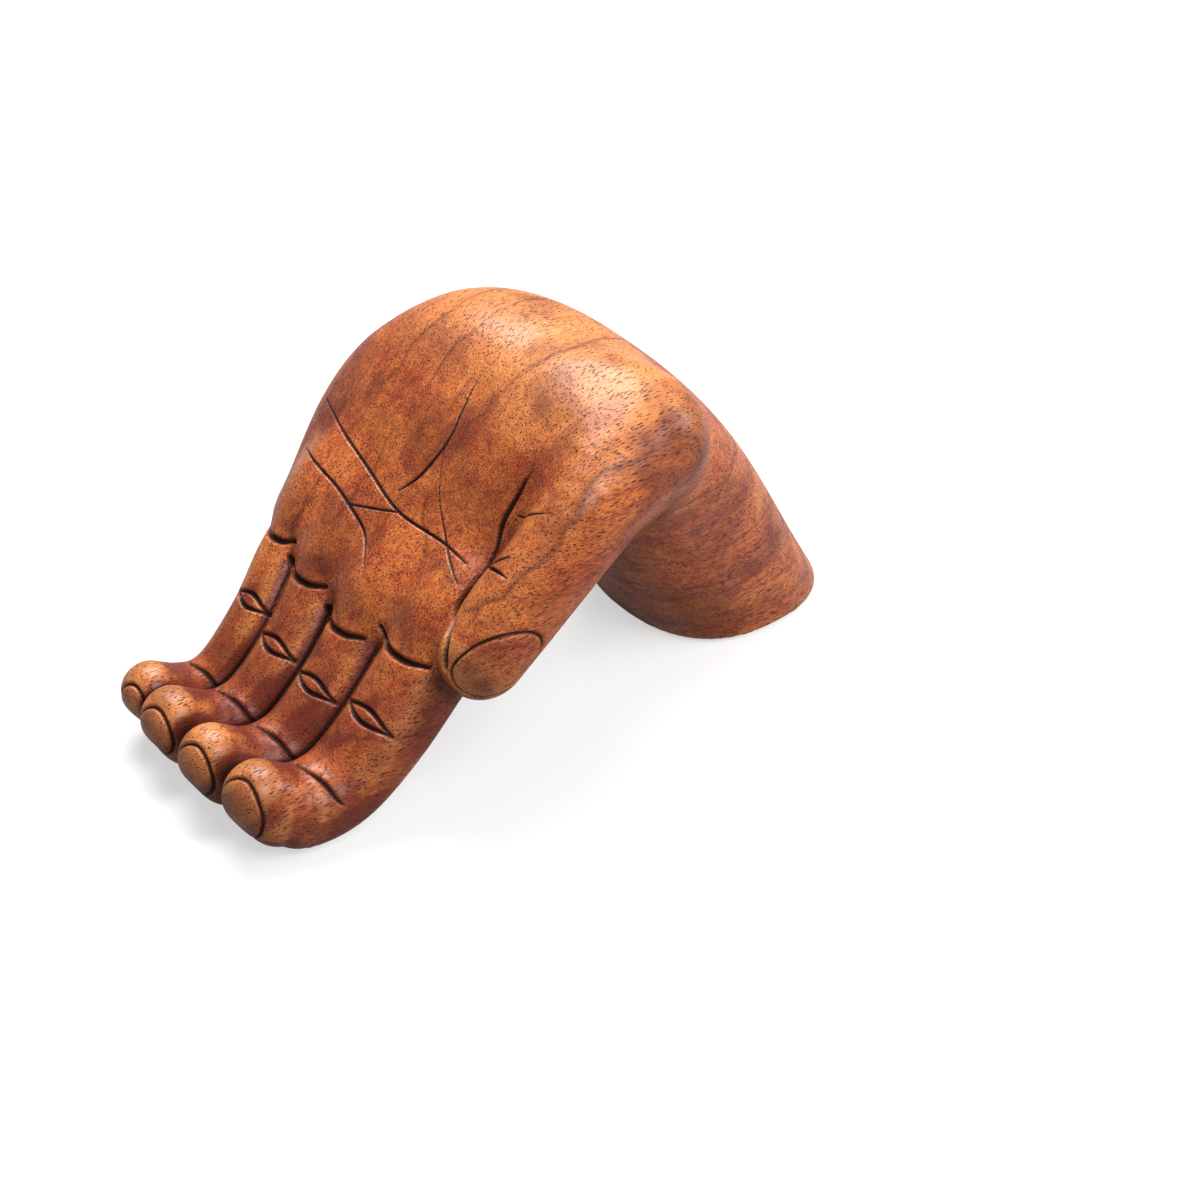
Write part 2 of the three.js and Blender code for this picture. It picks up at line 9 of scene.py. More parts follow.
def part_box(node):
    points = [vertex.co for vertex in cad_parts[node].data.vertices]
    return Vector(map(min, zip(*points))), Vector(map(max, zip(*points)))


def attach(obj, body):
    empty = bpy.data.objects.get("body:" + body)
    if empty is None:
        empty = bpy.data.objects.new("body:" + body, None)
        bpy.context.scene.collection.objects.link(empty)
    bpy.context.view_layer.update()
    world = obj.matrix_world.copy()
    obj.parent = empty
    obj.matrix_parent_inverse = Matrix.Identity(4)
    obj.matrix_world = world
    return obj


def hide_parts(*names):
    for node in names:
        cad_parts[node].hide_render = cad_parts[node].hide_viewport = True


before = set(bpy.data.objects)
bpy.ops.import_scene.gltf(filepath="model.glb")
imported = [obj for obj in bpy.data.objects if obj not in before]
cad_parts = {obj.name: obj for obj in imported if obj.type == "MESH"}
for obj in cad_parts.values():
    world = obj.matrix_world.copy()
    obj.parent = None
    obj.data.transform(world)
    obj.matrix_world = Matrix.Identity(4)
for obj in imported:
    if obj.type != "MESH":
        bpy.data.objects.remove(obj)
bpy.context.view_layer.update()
scene = bpy.context.scene
mm = 0.001

# The carving is worked out in the hand's own millimetres: x across to the thumb, y back
# from the crease where the fingers curl up, z up. The foot's felt dots say where that is.
footBack = 139.8
dotBoxes = [np.array(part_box(f"foot_felt_{n}")) for n in (1, 2, 3)]
dotsMiddle = np.mean([box.mean(axis=0) for box in dotBoxes], axis=0) / mm
handOrigin = np.array([dotsMiddle[0], dotsMiddle[1] - footBack, 0.0])


def toFrame(points):
    return (np.asarray(points, float) + handOrigin) * mm


# Camera

cameraView = {
    "place": (426.7, -280.7, 442.2),
    "turn": 48.0,        # degrees from the hand's back direction to the view, seen from above
    "pitch": 37.15,
    "roll": 3.6,
    "lens": 84.84,
}


def makeCamera(p):
    turn, pitch, roll = (math.radians(p[key]) for key in ("turn", "pitch", "roll"))
    level = Vector((-math.sin(turn), math.cos(turn), 0))
    forward = level * math.cos(pitch) - Vector((0, 0, math.sin(pitch)))
    right = Vector((math.cos(turn), math.sin(turn), 0))
    up = right.cross(forward)
    rolledRight = right * math.cos(roll) + up * math.sin(roll)
    rolledUp = up * math.cos(roll) - right * math.sin(roll)
    data = bpy.data.cameras.new("photoCamera")
    data.sensor_width = 36
    data.lens = p["lens"]
    data.clip_start = 0.01
    data.clip_end = 20
    camera = bpy.data.objects.new("photoCamera", data)
    turned = Matrix((rolledRight, rolledUp, -forward)).transposed().to_4x4()
    camera.matrix_world = Matrix.Translation(Vector(toFrame(p["place"]))) @ turned
    scene.collection.objects.link(camera)
    scene.camera = camera
    return camera


camera = makeCamera(cameraView)
scene.view_settings.view_transform = "Standard"
print("camera set")

# The shape of the hand: signed distances, below zero inside the wood

slope = math.radians(45)
curlHeight = 14.7
across = np.array([1.0, 0, 0])
upSlope = np.array([0, math.cos(slope), math.sin(slope)])
outOfPalm = np.array([0, -math.sin(slope), math.cos(slope)])


def onSlope(side, along, lift):
    return np.array([0, 0, curlHeight]) + across * side + upSlope * along + outOfPalm * lift


# A station is a place on a limb's middle line with its half width and half depth.
def station(x, y, z, halfWidth, halfDepth):
    return [x, y, z, halfWidth, halfDepth]


def slopeStation(side, along, surfaceLift, halfWidth, halfDepth):
    return [*onSlope(side, along, surfaceLift - halfDepth), halfWidth, halfDepth]


# A smooth curve through four knots in a row, from the second at t = 0 to the third at t = 1
def curvePoint(before, a, b, after, t):
    return (a * (2 * t**3 - 3 * t**2 + 1) + b * (3 * t**2 - 2 * t**3)
            + (b - before) / 2 * (t**3 - 2 * t**2 + t) + (after - a) / 2 * (t**3 - t**2))


def knotsThrough(places):
    knots = np.array(places, float)
    return np.vstack([2 * knots[0] - knots[1], knots, 2 * knots[-1] - knots[-2]])


def makeLimb(stations, squareness, stepsPerStation):
    knots = knotsThrough(stations)
    line = [knots[1]]
    for n in range(1, len(knots) - 2):
        for step in range(1, stepsPerStation + 1):
            line.append(curvePoint(*knots[n - 1:n + 3], step / stepsPerStation))
    return {"line": np.array(line), "squareness": squareness}


# The limbs bend only in the YZ plane, so the nearest section is found from the side.
def limbDistance(limb, x, y, z):
    best = np.full(np.broadcast(y, z).shape, np.inf)
    found = np.zeros((3,) + best.shape)
    for a, b in zip(limb["line"][:-1], limb["line"][1:]):
        dy, dz = b[1] - a[1], b[2] - a[2]
        t = np.clip(((y - a[1]) * dy + (z - a[2]) * dz) / (dy * dy + dz * dz), 0, 1)
        gap = (y - a[1] - t * dy) ** 2 + (z - a[2] - t * dz) ** 2
        closer = gap < best
        best = np.where(closer, gap, best)
        for n, column in enumerate((0, 3, 4)):
            found[n] = np.where(closer, a[column] + (b[column] - a[column]) * t, found[n])
    middle, halfWidth, halfDepth = found
    square = limb["squareness"]
    sideShare = np.abs(x - middle) / halfWidth
    depthShare = np.sqrt(best) / halfDepth
    reach = np.maximum(1e-4, (sideShare**square + depthShare**square) ** (1 / square))
    rise = reach ** (1 - square) * np.hypot(
        sideShare ** (square - 1) / halfWidth, depthShare ** (square - 1) / halfDepth)
    return (reach - 1) / np.maximum(rise, 0.5 / np.maximum(halfWidth, halfDepth))


# An ellipsoid set square to the slope, such as the pad under a finger's root
def swellDistance(swell, x, y, z):
    centre = onSlope(*swell["at"])
    sizes = swell["halfSizes"]
    offset = (x - centre[0], y - centre[1], z - centre[2])
    parts = [sum(offset[k] * axis[k] for k in range(3)) / size
             for axis, size in zip((across, upSlope, outOfPalm), sizes)]
    reach = np.sqrt(parts[0]**2 + parts[1]**2 + parts[2]**2)
    rise = np.sqrt(sum((part / size) ** 2 for part, size in zip(parts, sizes)))
    return reach * (reach - 1) / np.maximum(rise, 1e-6)


def blend(a, b, width):
    share = np.clip(0.5 + 0.5 * (b - a) / width, 0, 1)
    return b + (a - b) * share - width * share * (1 - share)


handShape = {
    "curlToHeel": 101, "rootAlong": 35, "knuckleAlong": 18,
    "bend": (96.8, 62.5, 35, 22.5),            # y, z, half width, half depth
    "forearm": (115.8, 38, 29.5, 23.8),
    "foot": (footBack, 0, 28, 23.6),
    "palmHalfWidth": 45.5, "palmHalfDepth": 16, "knuckleHalfWidth": 34,
    "fingerHalfDepth": 8.5, "tipHalfWidth": 8,
    "thumbSide": 35, "thumbTipAlong": 46.6, "thumbHalfWidth": 10.2, "thumbHalfDepth": 12,
    "solesAt": 1.0,                          # the felt dots' thickness
}
fingers = [
    {"name": "index", "side": 22.2, "halfWidth": 10.5, "lean": 1.6, "rootAt": 34.2, "knuckleAt": 18.9,
     "tipSide": 18.3, "reach": 13.4, "tipHeight": 15.3},
    {"name": "middle", "side": 3.8, "halfWidth": 9.2, "lean": 2.5, "rootAt": 29.8, "knuckleAt": 16.2,
     "tipSide": 1, "reach": 14.5, "tipHeight": 15.5},
    {"name": "ring", "side": -13, "halfWidth": 8.6, "lean": 4, "rootAt": 33.2, "knuckleAt": 17.3,
     "tipSide": -16, "reach": 14, "tipHeight": 15.5},
    {"name": "little", "side": -27.3, "halfWidth": 7.2, "lean": 4.5, "rootAt": 37, "knuckleAt": 21.6,
     "tipSide": -28.8, "reach": 11.9, "tipHeight": 14.3},
]
# how softly one part of the carving runs into the next, in millimetres
blendWidths = {"pads": 4, "fingers": 0.8, "fingerTip": 2, "padsToPalm": 6, "ballToPalm": 8, "fingersToPalm": 1.5,
               "thumbAtTip": 2, "thumbAtHeel": 10, "thumbWidens": 28, "archHollow": 6, "sawnEdge": 0.7}


def makePalm(p):
    heel, root = p["curlToHeel"], p["rootAlong"]
    wide, deep = p["palmHalfWidth"], p["palmHalfDepth"]
    foot = p["foot"]
    run = foot[0] - p["forearm"][0]
    return makeLimb([
        slopeStation(-5, root - 2, -7, p["knuckleHalfWidth"], p["fingerHalfDepth"] - 2),
        slopeStation(-7.5, root + 7, -0.8, p["knuckleHalfWidth"] + 4, p["fingerHalfDepth"] + 2),
        slopeStation(-9, root + 17, 0, (p["knuckleHalfWidth"] + wide) / 2 + 1, deep - 3.5),
        slopeStation(-11, heel - 30, 1.5, wide - 1, deep),
        slopeStation(-11, heel - 13, 2, wide - 1.8, deep + 2),
        slopeStation(-7, heel, -1, 40.5, 20.5),
        station(-3, *p["bend"]),
        station(0, *p["forearm"]),
        station(0, *foot),
        station(0, foot[0] + run / 2, -p["forearm"][1] / 2, foot[2], foot[3]),
    ], 2.4, 12)


def makeFinger(p, f):
    side, halfWidth, lean, tipSide, reach = (f[k] for k in ("side", "halfWidth", "lean", "tipSide", "reach"))
    thinner = (halfWidth - fingers[0]["halfWidth"]) / 3
    depth = p["fingerHalfDepth"] + thinner + 0.6
    down = makeLimb([
        slopeStation(side - lean - 1, p["rootAlong"] + 18, -2.5, halfWidth - 0.3, depth + 0.5),
        slopeStation(side - lean, p["rootAlong"] + 1, -0.4, halfWidth + 0.3, depth + 0.5),
        slopeStation(side, p["knuckleAlong"], 0, halfWidth, depth),
        station(side, 6.8, depth + 2.3, halfWidth - 0.4, depth - 0.2),
        station(side - 1, -4, depth + 0.1, halfWidth - 0.6, depth - 0.1),
        station((side + tipSide) / 2 - 1, -reach + 3, depth + 1.5, halfWidth - 1, depth - 1),
    ], 2.5, 6)
    tip = makeLimb([
        station((side + tipSide) / 2, -reach + 7, f["tipHeight"] - 4.5, p["tipHalfWidth"] - 0.4, depth - 0.8),
        station(tipSide, -reach, f["tipHeight"], p["tipHalfWidth"] + thinner - 0.2, depth - 1.1),
    ], 2.3, 4)
    return {"down": down, "tip": tip}


def makeThumb(p):
    side, tip, heel = p["thumbSide"], p["thumbTipAlong"], p["curlToHeel"]
    wide, deep = p["thumbHalfWidth"], p["thumbHalfDepth"]
    return makeLimb([
        slopeStation(side - 9, heel + 6, -6, wide + 4, deep + 3),
        slopeStation(side - 1.5, heel - 12, 3.5, wide + 0.4, deep + 1.5),
        slopeStation(side, tip + 25, 4.5, wide - 1, deep + 0.5),
        slopeStation(side - 0.3, tip + 11, 5, wide - 0.6, deep),
        slopeStation(side, tip, 4.5, wide - 1, deep - 1),
    ], 2.1, 6)


palm = makePalm(handShape)
fingerLimbs = [makeFinger(handShape, finger) for finger in fingers]
thumb = makeThumb(handShape)
rootPads = [{"at": (f["side"] - f["lean"] - 0.8, f["rootAt"] + 15, -8),
             "halfSizes": (f["halfWidth"] + 2, 16.5, 10)} for f in fingers]
thumbBall = {"at": (14, handShape["curlToHeel"] - 9, -12), "halfSizes": (19, 26, 15)}
print("limbs laid out: palm, thumb,", ", ".join(f["name"] for f in fingers))

# Round hollow that a gouge leaves where the palm's underside meets the forearm: x, y, z and radius
archHollow = {"places": [(-44, 84, 63, 0.5), (-30, 83, 53, 1.5), (-18, 83, 50.5, 4.6), (0, 83, 50.6, 5.4),
                         (16, 83, 52.6, 4.8), (30, 83, 58.5, 1.5), (40, 84, 65, 0.5)],
              "sandedReach": 7.5, "sandedFade": 4, "sandingPasses": 60}


def hollowDistance(x, y, z):
    gaps = []
    for a, b in zip(archHollow["places"], archHollow["places"][1:]):
        a, b = np.array(a), np.array(b)
        run = (b - a)[:3]
        offset = (x - a[0], y - a[1], z - a[2])
        share = np.clip(sum(offset[k] * run[k] for k in range(3)) / (run @ run), 0, 1)
        gap = np.sqrt(sum((offset[k] - share * run[k]) ** 2 for k in range(3)))
        gaps.append(gap - a[3] - (b[3] - a[3]) * share)
    return np.minimum.reduce(gaps)


def fingerDistances(x, y, z):
    return [blend(limbDistance(f["down"], x, y, z), limbDistance(f["tip"], x, y, z), blendWidths["fingerTip"])
            for f in fingerLimbs]


def woodDistance(x, y, z):
    w = blendWidths
    pads = swellDistance(rootPads[0], x, y, z)
    for pad in rootPads[1:]:
        pads = blend(pads, swellDistance(pad, x, y, z), w["pads"])
    hand = None
    for distance in fingerDistances(x, y, z):
        hand = distance if hand is None else blend(hand, distance, w["fingers"])
    along = y * upSlope[1] + (z - curlHeight) * upSlope[2]
    share = np.clip((along - handShape["curlToHeel"] + w["thumbWidens"]) / w["thumbWidens"], 0, 1)
    thumbFillet = w["thumbAtTip"] + (w["thumbAtHeel"] - w["thumbAtTip"]) * share * share * (3 - 2 * share)
    wood = blend(limbDistance(palm, x, y, z), pads, w["padsToPalm"])
    wood = blend(wood, swellDistance(thumbBall, x, y, z), w["ballToPalm"])
    wood = blend(wood, hand, w["fingersToPalm"])
    wood = blend(wood, limbDistance(thumb, x, y, z), thumbFillet)
    wood = blend(wood, hollowDistance(x, y, z), w["archHollow"])
    # sawn level over the felt dots, with the edge eased by sanding
    return -blend(-wood, z - handShape["solesAt"], w["sawnEdge"])


# The fine skin of the carving

# In millimetres but for the steps and passes. Beside a gouge line and in the valleys between the fingers
# the skin's cells are halved that many times.
skinSizes = {"cell": 1.15, "margin": 2.2, "fineSteps": 2, "fineReach": 0.35, "valleyWidth": 1.2, "valleyDepth": 0.6,
             "settlePasses": 2}


def steepest(distance, points, nudge=0.04):
    x, y, z = points.T
    here = distance(x, y, z)
    rise = np.stack([
        distance(x + nudge, y, z) - here, distance(x, y + nudge, z) - here, distance(x, y, z + nudge) - here,
    ], axis=1) / nudge
    return here, rise


def settle(distance, points, passes, farthest=0.8):
    for _ in range(passes):
        here, rise = steepest(distance, points)
        move = -rise * (here / np.maximum((rise**2).sum(axis=1), 0.3))[:, None]
        length = np.linalg.norm(move, axis=1, keepdims=True)
        points = points + move * np.minimum(1, farthest / np.maximum(length, 1e-9))
    return points


# One vertex in each cell that the surface crosses, four cells round each crossed edge
def makeSkin(distance, lowest, highest, cell):
    axes = [np.arange(lowest[n], highest[n] + cell, cell) for n in range(3)]
    y, z = (part.ravel()[None, :] for part in np.meshgrid(axes[1], axes[2], indexing="ij"))
    values = distance(axes[0][:, None], y, z).reshape([len(axis) for axis in axes])
    inside = values < 0
    corners = np.array([(a, b, c) for a in (0, 1) for b in (0, 1) for c in (0, 1)])
    shape = np.array(values.shape) - 1
    filled = sum(inside[a:a + shape[0], b:b + shape[1], c:c + shape[2]].astype(int)
                 for a, b, c in corners)
    cells = np.argwhere((filled > 0) & (filled < 8))
    number = np.full(shape, -1)
    number[tuple(cells.T)] = np.arange(len(cells))
    at = [values[tuple((cells + corner).T)] for corner in corners]
    total, count = np.zeros((len(cells), 3)), np.zeros(len(cells))
    for a in range(8):
        for b in range(a + 1, 8):
            if np.abs(corners[a] - corners[b]).sum() != 1:
                continue
            crossed = (at[a] < 0) != (at[b] < 0)
            share = np.where(crossed, at[a] / np.where(crossed, at[a] - at[b], 1), 0)
            place = corners[a] + (corners[b] - corners[a]) * share[:, None]
            total += np.where(crossed[:, None], place, 0)
            count += crossed
    points = np.array([axis[0] for axis in axes]) + (cells + total / count[:, None]) * cell
    faces = []
    for axis, (u, v) in ((0, (1, 2)), (1, (2, 0)), (2, (0, 1))):
        step = np.eye(3, dtype=int)
        first = np.take(inside, range(0, inside.shape[axis] - 1), axis)
        second = np.take(inside, range(1, inside.shape[axis]), axis)
        edges = np.argwhere(first != second)
        quad = np.stack([number[tuple((edges - back).T)] for back in
                         (0 * step[u], step[u], step[u] + step[v], step[v])], axis=1)
        entering = ~first[tuple(edges.T)]
        quad[entering] = quad[entering][:, ::-1]
        faces.append(quad)
    return points, np.vstack(faces)


# Lines that the carver cut with gouges, along places on the slope

carvedLines = {
    "rootCrease": {"halfWidth": 1.2, "depth": 1.6},
    "knuckleCrease": {"halfWidth": 0.85, "depth": 1.15},
    "curlCrease": {"halfWidth": 0.9, "depth": 1.0},
    "palmLine": {"halfWidth": 0.55, "depth": 0.7},
    "fineLine": {"halfWidth": 0.42, "depth": 0.45},
    "thumbCrease": {"halfWidth": 0.95, "depth": 1.3},
    "thumbEdge": {"halfWidth": 1.5, "depth": 2.4},
    "nailRing": {"halfWidth": 0.8, "depth": 1.2},
}
# across, along and how hard the gouge was pushed there
palmPlaces = [
    ("palmLine", [(-47.7, 70.8, 0.5), (-31, 66.8, 0.9), (-17.4, 63.6, 1), (-4.4, 60.5, 1), (11.7, 61.2, 1),
                  (21, 60.8, 0.6)]),
    ("palmLine", [(-43, 58.4, 0.3), (-37.6, 58.1, 0.8), (-23.9, 56.1, 1), (-16.8, 54.7, 1.1),
                  (-8.9, 51.7, 0.9), (-1, 45, 0.4)]),
    ("palmLine", [(-7.7, 101, 0.3), (-7.1, 95.6, 0.5), (-5, 88.4, 0.8), (-3.2, 80.9, 1), (-4.6, 70.7, 1.3),
                  (-7.8, 64.3, 0.6)]),
    ("fineLine", [(-2.8, 78.9, 0.7), (-1, 75.3, 0.5), (3.5, 69.2, 0.6), (8.5, 64.6, 0.8), (14.2, 60.5, 1),
                  (23.2, 55.8, 0.5)]),
    ("fineLine", [(-16.8, 54.7, 1), (-10.5, 57.6, 1.2), (-4.2, 60.4, 1)]),
    ("thumbCrease", [(21.1, 98.9, 0.1), (22.2, 87.5, 0.3), (22.4, 82.7, 0.75), (22.4, 79.2, 1), (22.2, 72.8, 1),
                     (23.9, 66.8, 0.6), (25.6, 61, 0.6)]),
    ("thumbEdge", [(25.6, 61.5, 0.6), (26.4, 54.2, 0.9), (27.9, 50, 1), (31.8, 45, 1), (34.7, 39.4, 0.9)]),
    ("palmLine", [(26.1, 59.2, 1), (27.4, 63, 1.5), (33.4, 68.2, 0.6)]),
    ("palmLine", [(28.6, 63.4, 1.4), (33, 64, 1.2), (36.7, 64.1, 0.4)]),
    ("fineLine", [(24.6, 76.5, 0.8), (30.5, 78.6, 1), (36, 81.6, 0.4)]),
]


def throughPlaces(places, step=0.5):
    knots = knotsThrough(places)
    run = []
    for n in range(1, len(knots) - 2):
        steps = max(2, int(np.linalg.norm(knots[n + 1] - knots[n]) / step))
        run += [curvePoint(*knots[n - 1:n + 3], t) for t in np.arange(steps) / steps]
    run.append(knots[-2])
    return np.array(run)


# Lets points down on to the wood from outside, along one direction
def drape(points, out, start=25.0):
    points = points + out * start
    for _ in range(60):
        height = woodDistance(*points.T)
        points = points - out * (0.85 * height)[:, None]
    return points


def facing(out, upward):
    out = np.array(out, float) / np.linalg.norm(out)
    a = np.cross(upward, out)
    a /= np.linalg.norm(a)
    return a, np.cross(out, a), out


# A nail's half sizes are for a finger of this half width. The thumb has its own.
nailSizes = {"halfAcross": 6.0, "halfAlong": 7.6, "forHalfWidth": 9.8, "thumbHalfAcross": 7.6, "thumbHalfAlong": 11.2,
             "rise": 0.22, "edge": 0.25, "ringPush": 0.7}
nails = [{"centre": np.array([f["tipSide"], -f["reach"], f["tipHeight"] - 2]),
          "out": (0.2, -0.96, 0.17), "upward": (0, 0, 1),
          "halfAcross": nailSizes["halfAcross"] * f["halfWidth"] / nailSizes["forHalfWidth"],
          "halfAlong": nailSizes["halfAlong"] * f["halfWidth"] / nailSizes["forHalfWidth"]} for f in fingers]
nails.append({"centre": onSlope(handShape["thumbSide"], handShape["thumbTipAlong"] + 2.4, -5.5),
              "out": across - 0.25 * upSlope + 0.15 * outOfPalm, "upward": upSlope - 0.55 * outOfPalm,
              "halfAcross": nailSizes["thumbHalfAcross"], "halfAlong": nailSizes["thumbHalfAlong"]})


def collectLines():
    runs = list(palmPlaces)
    for f in fingers:
        side, wide, middle = f["side"], f["halfWidth"], f["side"] - f["lean"]
        root, knuckle = f["rootAt"], f["knuckleAt"]
        runs.append(("rootCrease", [(middle - wide - 0.6, root + 2.4, 0.7), (middle - 0.55 * wide, root, 1),
                                    (middle + 0.15 * wide, root + 0.2, 1), (middle + 0.7 * wide, root + 2.4, 0.6)]))
        for bow in (1.7, -1.7):
            runs.append(("knuckleCrease", [(side - 0.78 * wide, knuckle, 0.6), (side, knuckle + bow, 1),
                                           (side + 0.8 * wide, knuckle, 0.6)]))
        runs.append(("curlCrease", [(side - 0.5 * wide, 0.9, 0.5), (side + 0.1 * wide, 1.6, 1),
                                    (side + 0.5 * wide, 1.4, 1), (side + 0.85 * wide, 0, 0.6)]))
    lines = []
    for kind, places in runs:
        flat = throughPlaces(places)
        on = drape(np.array([onSlope(a, b, 0) for a, b, _ in flat]), outOfPalm)
        lines.append((kind, on, flat[:, 2]))
    for nail in nails:
        a, b, out = facing(nail["out"], nail["upward"])
        turns = np.linspace(0, 2 * math.pi, 90)
        ring = np.array([nail["centre"] + a * nail["halfAcross"] * math.cos(t) + b * nail["halfAlong"] * math.sin(t)
                         for t in turns])
        lines.append(("nailRing", drape(ring, out), np.full(len(ring), nailSizes["ringPush"])))
    return lines


lines = collectLines()
linePoints = np.vstack([run for _, run, _ in lines])
lineReach = np.concatenate([np.full(len(run), carvedLines[kind]["halfWidth"])
                            for kind, run, _ in lines])
print("gouge lines laid on the wood:", len(lines))


def finePlaces(points):
    tree = KDTree(len(linePoints))
    for n, point in enumerate(linePoints):
        tree.insert(point, n)
    tree.balance()
    near = np.zeros(len(points), bool)
    for n, point in enumerate(points):
        _, index, gap = tree.find(point)
        near[n] = gap < lineReach[index] + skinSizes["fineReach"]
    ordered = np.sort(np.stack(fingerDistances(*points.T)), axis=0)
    valley = (ordered[1] - ordered[0] < skinSizes["valleyWidth"]) & (ordered[0] < skinSizes["valleyDepth"])
    return near | valley


def makeWoodMesh():
    low, high = np.array(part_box("carved_hand")) / mm - handOrigin
    points, faces = makeSkin(woodDistance, low - skinSizes["margin"], high + skinSizes["margin"], skinSizes["cell"])
    points = settle(woodDistance, points, skinSizes["settlePasses"])
    print("skin:", len(points), "points", len(faces), "faces")
    mesh = bpy.data.meshes.new("carvedHandFine")
    mesh.from_pydata(points.tolist(), [], faces.tolist())
    bm = bmesh.new()
    bm.from_mesh(mesh)
    for _ in range(skinSizes["fineSteps"]):
        bm.faces.ensure_lookup_table()
        middles = np.array([face.calc_center_median()[:] for face in bm.faces])
        marked = finePlaces(middles)
        edges = {edge for n in np.flatnonzero(marked) for edge in bm.faces[n].edges}
        bmesh.ops.subdivide_edges(bm, edges=list(edges), cuts=1, use_grid_fill=True)
    bmesh.ops.triangulate(bm, faces=bm.faces[:])
    bm.to_mesh(mesh)
    bm.free()
    points = np.empty(len(mesh.vertices) * 3)
    mesh.vertices.foreach_get("co", points)
    points = settle(woodDistance, points.reshape(-1, 3), skinSizes["settlePasses"])
    print("refined skin:", len(points), "points", len(mesh.polygons), "triangles")
    return mesh, points


# Each point moves towards the mean of its neighbours, as far as the weight lets it
def evenOut(mesh, values, weight):
    ends = np.empty(len(mesh.edges) * 2, np.int32)
    mesh.edges.foreach_get("vertices", ends)
    ends = ends.reshape(-1, 2)
    ends = ends[(weight[ends] > 0).any(axis=1)]
    ends = np.vstack([ends, ends[:, ::-1]])
    count = np.maximum(np.bincount(ends[:, 0], minlength=len(values)), 1)
    for _ in range(archHollow["sandingPasses"]):
        sums = [np.bincount(ends[:, 0], column[ends[:, 1]], len(values)) for column in values.T]
        values = values + 0.5 * weight[:, None] * (np.stack(sums, axis=1) / count[:, None] - values)
    return values


woodMesh, woodPoints = makeWoodMesh()
sanded = np.clip((archHollow["sandedReach"] - hollowDistance(*woodPoints.T)) / archHollow["sandedFade"], 0, 1)
woodPoints = evenOut(woodMesh, woodPoints, sanded)
print("arch sanded at", int((sanded > 0).sum()), "points")


def unit(vectors):
    return vectors / np.maximum(np.linalg.norm(vectors, axis=1, keepdims=True), 1e-9)


# Marks that the colour follows, lengths in millimetres: how far a recess is felt for and its weight in painted
# shade, how far the painted shade under the arch reaches, how sharp a crown is that hands rub, from what height
# and over what rise the heel's top gets a painted highlight, and how far up hands darken the fingers
wearAndLightMarks = {
    "recessShade": ((1.5, 0.3), (4.0, 0.35), (9.0, 0.35)), "archShadeReach": 30,
    "crownStep": 2.0, "crownFrom": 0.09, "crownRise": 0.12,
    "litTopFrom": 78, "litTopRise": 14, "handledTo": 37, "handledFade": 14,
}


# Nails are low plates inside their rings. Recesses and the underside of the arch get painted shade, worn crowns are
# lighter, and the heel's top gets a painted highlight.
def dressWood(mesh, points, p):
    normals = unit(steepest(woodDistance, points)[1])
    plate = np.zeros(len(points))
    for nail in nails:
        a, b, out = facing(nail["out"], nail["upward"])
        offset = points - nail["centre"]
        reach = np.hypot(offset @ a / nail["halfAcross"], offset @ b / nail["halfAlong"])
        front = (offset @ out > -4) & (normals @ out > 0.15)
        plate = np.maximum(plate, np.where(front, np.clip((1 - reach) / nailSizes["edge"], 0, 1), 0))
    # painted shade in recesses: the nearer the wood lies out along the normal at each reach, the darker
    recessShade = np.zeros(len(points))
    for reach, weight in p["recessShade"]:
        outside = woodDistance(*(points + normals * reach).T)
        recessShade += weight * np.clip(1 - outside / reach, 0, 1)
    # painted shade under the arch: darker where wood lies within the reach out along the normal
    archShade = np.clip(1 - woodDistance(*(points + normals * p["archShadeReach"]).T) / p["archShadeReach"], 0, 1)
    around = np.vstack([np.eye(3), -np.eye(3)]) * p["crownStep"]
    crown = sum(woodDistance(*(points + step).T) for step in around)
    crown = np.clip((crown / p["crownStep"] ** 2 - p["crownFrom"]) / p["crownRise"], 0, 1)
    recessShade, crown = evenOut(mesh, np.stack([recessShade, crown], axis=1), sanded).T
    along = points @ upSlope - curlHeight * upSlope[2]
    handled = np.clip((p["handledTo"] - along) / p["handledFade"], 0, 1) * (1 - 0.85 * crown)
    # painted highlight: the heel's top is lighter with height, added to the lighter worn crowns
    paintedTopLight = np.clip((points[:, 2] - p["litTopFrom"]) / p["litTopRise"], 0, 1)
    wornAndLitTop = np.clip(0.8 * crown + 0.9 * paintedTopLight, 0, 1)
    points = points + normals * (nailSizes["rise"] * plate)[:, None]
    mesh.vertices.foreach_set("co", toFrame(points).ravel())
    for name, values in (("recessShade", recessShade), ("nailPlate", plate), ("archShade", archShade),
                         ("wornAndLitTop", wornAndLitTop), ("handled", handled)):
        mesh.attributes.new(name, "FLOAT", "POINT").data.foreach_set("value", values.astype(np.float32))
    mesh.update()


dressWood(woodMesh, woodPoints, wearAndLightMarks)
print("wear and hollows marked on the skin")
woodObject = bpy.data.objects.new("carvedHand", woodMesh)
scene.collection.objects.link(woodObject)


def makeLineObject():
    mesh = bpy.data.meshes.new("gougeLines")
    edges, start = [], 0
    for _, run, _ in lines:
        edges += [(start + n, start + n + 1) for n in range(len(run) - 1)]
        start += len(run)
    mesh.from_pydata(toFrame(linePoints).tolist(), edges, [])
    push = np.concatenate([strength for _, _, strength in lines])
    depth = np.concatenate([np.full(len(run), carvedLines[kind]["depth"]) for kind, run, _ in lines])
    for name, values in (("halfWidth", lineReach * mm * (0.55 + 0.45 * push)), ("depth", depth * mm * push),
                         ("push", push)):
        mesh.attributes.new(name, "FLOAT", "POINT").data.foreach_set("value", values.astype(np.float32))
    lineObject = bpy.data.objects.new("gougeLines", mesh)
    scene.collection.objects.link(lineObject)
    return lineObject


# Node trees and colours

